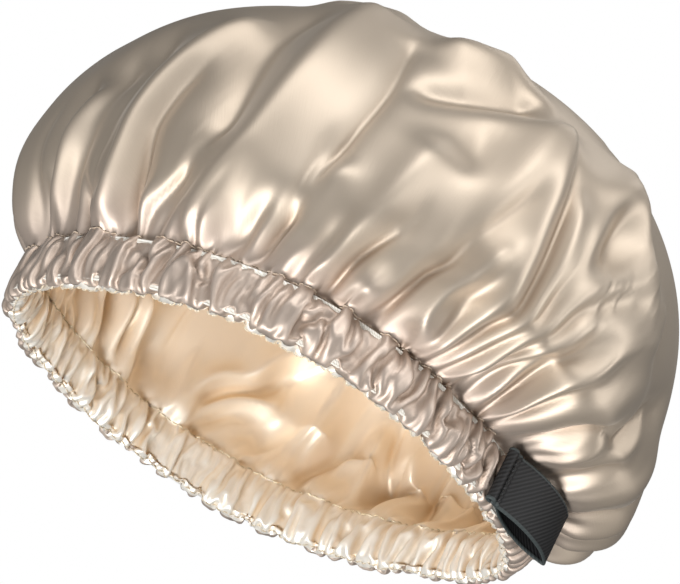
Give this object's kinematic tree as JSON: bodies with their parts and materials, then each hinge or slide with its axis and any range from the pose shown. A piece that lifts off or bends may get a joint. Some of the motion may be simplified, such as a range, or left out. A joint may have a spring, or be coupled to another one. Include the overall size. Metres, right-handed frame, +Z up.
{
  "type": "hair bonnet",
  "caption": "Gathered two layer satin hair bonnet with a full domed crown, an elastic casing along its oval rim and a folded ribbon loop.",
  "frame": {"origin": "on the surface that the rim rests on, under the middle of the bonnet's box", "axes": "+Z up out of the crown, -Z out of the head opening, +X along the opening's long axis to the back, where the ribbon loop is sewn"},
  "size_m": [0.2146, 0.1868, 0.145],
  "materials": {
    "champagne_satin": "warp faced satin, glossy, champagne",
    "ivory_satin": "warp faced satin, glossy, cream",
    "woven_elastic": "woven elastic, matt white",
    "elastic_thread": "spun sewing thread, pale",
    "champagne_thread": "spun sewing thread, champagne",
    "ivory_thread": "spun sewing thread, cream",
    "black_twill_tape": "black twill tape with fine slanting ribs",
    "black_thread": "spun sewing thread, black"
  },
  "bodies": {
    "bonnet": {"outer_satin": "champagne_satin", "lining_satin": "ivory_satin", "elastic_band": "woven_elastic", "elastic_join_thread": "elastic_thread", "seam_needle_thread": "champagne_thread", "seam_bobbin_thread": "ivory_thread", "rim_seam_thread": "champagne_thread"},
    "loop": {"ribbon_loop": "black_twill_tape", "ribbon_tack_thread": "black_thread"}
  },
  "joints": [
    {"name": "loop_swing", "type": "hinge", "parent": "bonnet", "child": "loop", "pos_m": [0.06492, -0.0464, 0.01], "axis": [0, 0, -1], "range_deg": [0, 100], "stiffness_Nm_per_rad": 0.0005}
  ]
}
